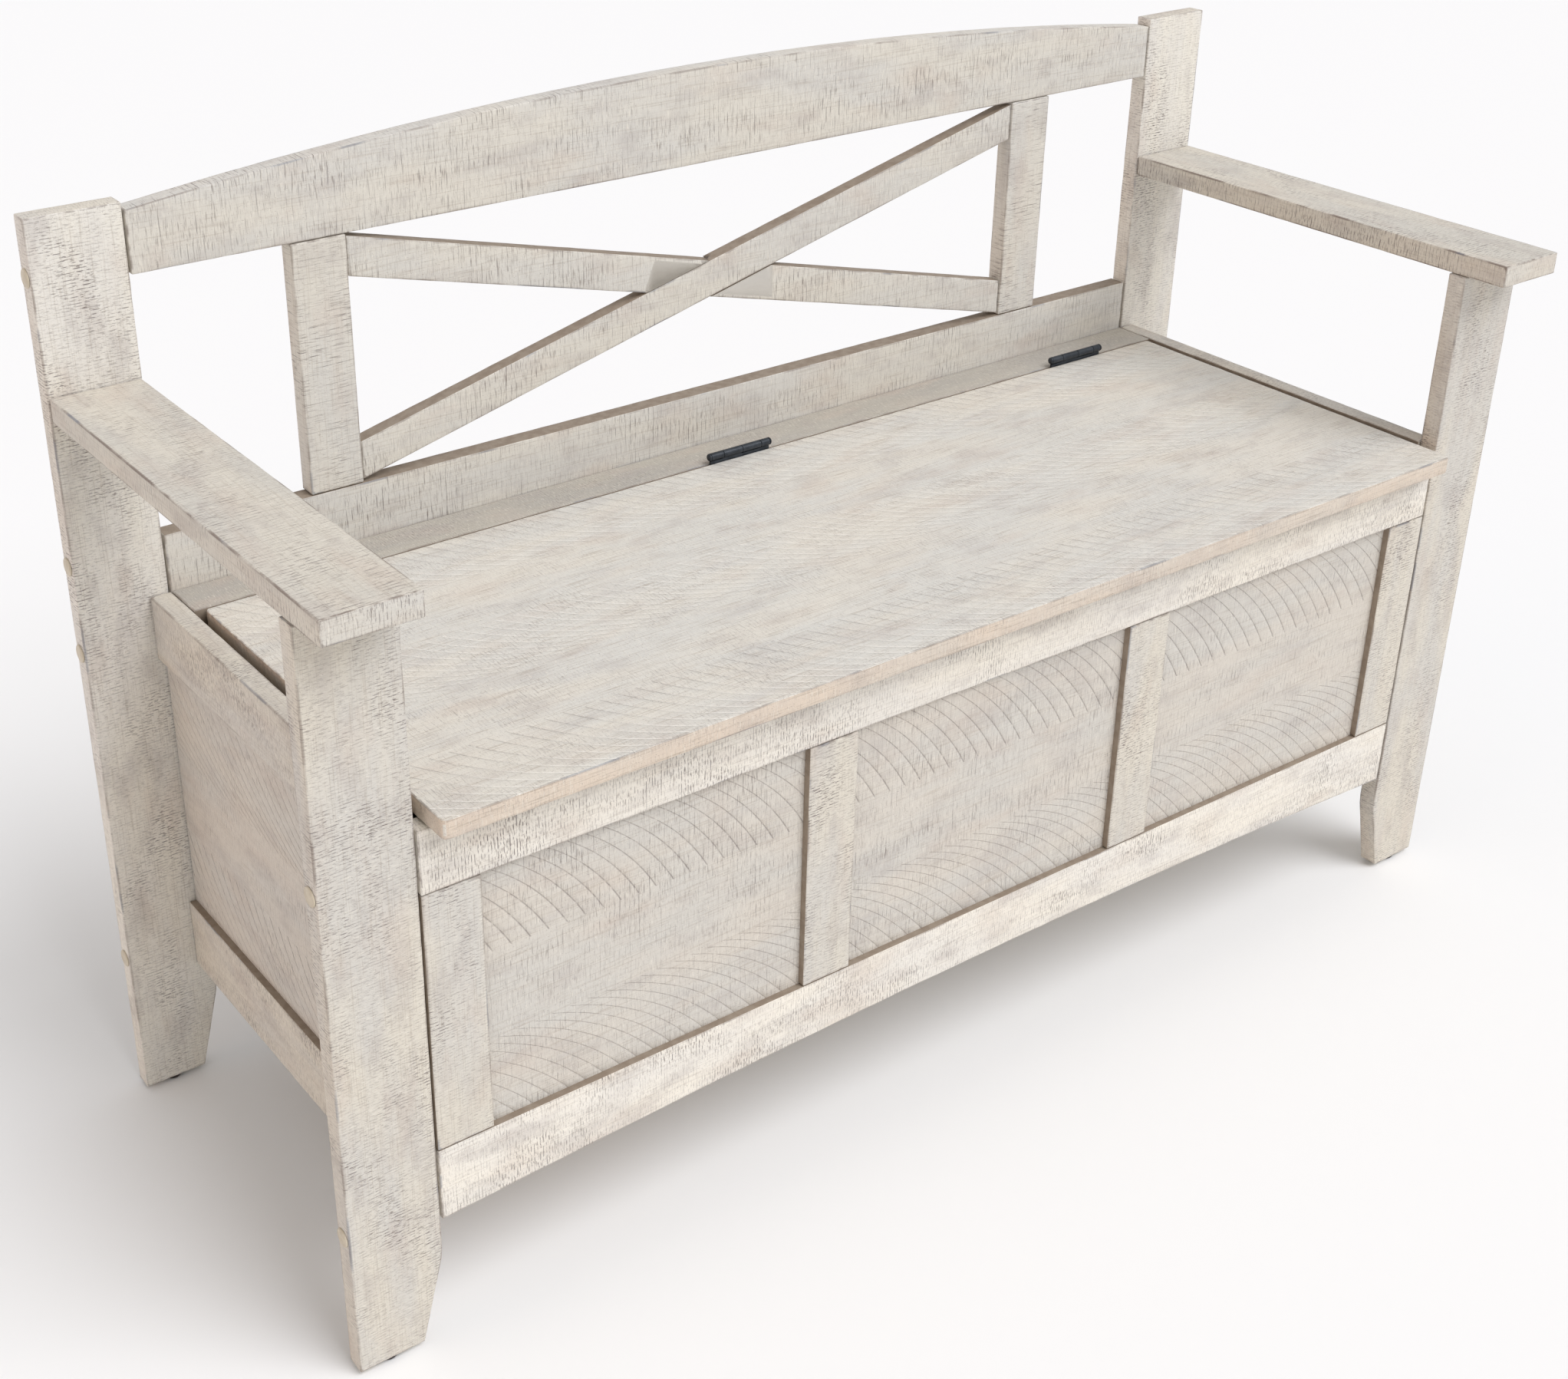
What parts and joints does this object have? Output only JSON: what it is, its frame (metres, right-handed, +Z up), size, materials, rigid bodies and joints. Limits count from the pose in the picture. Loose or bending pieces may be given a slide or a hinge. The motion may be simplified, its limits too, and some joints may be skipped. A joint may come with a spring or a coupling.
{
  "type": "storage bench",
  "caption": "Whitewashed wooden storage bench with crossed bars in an arched back, flat arms, and a panelled chest whose seat is a hinged lid.",
  "frame": {"origin": "on the floor, at the centre of the footprint", "axes": "+X to the sitter's left, along the seat (to the right seen from the front); +Y to the back; +Z up"},
  "size_m": [1.2232, 0.4556, 0.8174],
  "materials": {
    "painted_wood": "whitewashed rough-sawn board, matt, dark wash left in the saw marks and worn edges",
    "seat_wood": "whitewashed board, cooler and a little smoother than the frame, with arc saw marks",
    "inner_wood": "plain painted board inside and behind the chest",
    "cover_paint": "domed screw covers in the colour of the frame",
    "hinge_steel": "black lacquered steel",
    "glide_plastic": "dark brown moulded nail-on glide",
    "bumper_rubber": "clear soft bumper"
  },
  "bodies": {
    "bench": {"arm_left": "painted_wood", "arm_right": "painted_wood", "back_panel": "inner_wood", "back_stile_left": "painted_wood", "back_stile_right": "painted_wood", "chest_floor": "inner_wood", "crest_rail": "painted_wood", "cross_bar_falling": "painted_wood", "cross_bar_rising": "painted_wood", "floor_brace": "inner_wood", "front_bottom_rail": "painted_wood", "front_leg_left": "painted_wood", "front_leg_right": "painted_wood", "front_panel_centre": "painted_wood", "front_panel_left": "painted_wood", "front_panel_right": "painted_wood", "front_stile_left": "painted_wood", "front_stile_middle_left": "painted_wood", "front_stile_middle_right": "painted_wood", "front_stile_right": "painted_wood", "front_top_rail": "painted_wood", "glide_front_left": "glide_plastic", "glide_front_right": "glide_plastic", "glide_rear_left": "glide_plastic", "glide_rear_right": "glide_plastic", "hinge_leaf_fixed_centre": "hinge_steel", "hinge_leaf_fixed_left": "hinge_steel", "hinge_leaf_fixed_right": "hinge_steel", "hinge_pin_centre": "hinge_steel", "hinge_pin_left": "hinge_steel", "hinge_pin_right": "hinge_steel", "hinge_strip": "painted_wood", "leg_bolt_left_1": "cover_paint", "leg_bolt_left_2": "cover_paint", "leg_bolt_right_1": "cover_paint", "leg_bolt_right_2": "cover_paint", "lid_bumper_left": "bumper_rubber", "lid_bumper_right": "bumper_rubber", "lower_back_rail": "painted_wood", "rear_bolt_left_1": "cover_paint", "rear_bolt_left_2": "cover_paint", "rear_bolt_left_3": "cover_paint", "rear_bolt_left_4": "cover_paint", "rear_bolt_right_1": "cover_paint", "rear_bolt_right_2": "cover_paint", "rear_bolt_right_3": "cover_paint", "rear_bolt_right_4": "cover_paint", "rear_bottom_rail": "painted_wood", "rear_post_left": "painted_wood", "rear_post_right": "painted_wood", "side_bottom_rail_left": "painted_wood", "side_bottom_rail_right": "painted_wood", "side_panel_left": "painted_wood", "side_panel_right": "painted_wood", "side_top_rail_left": "painted_wood", "side_top_rail_right": "painted_wood"},
    "lid": {"lid": "seat_wood", "hinge_leaf_lid_left": "hinge_steel", "hinge_leaf_lid_centre": "hinge_steel", "hinge_leaf_lid_right": "hinge_steel"}
  },
  "joints": [
    {"name": "lid_hinge", "type": "hinge", "parent": "bench", "child": "lid", "pos_m": [0, 0.16485, 0.479], "axis": [-1, 0, 0], "range_deg": [0, 98]}
  ]
}
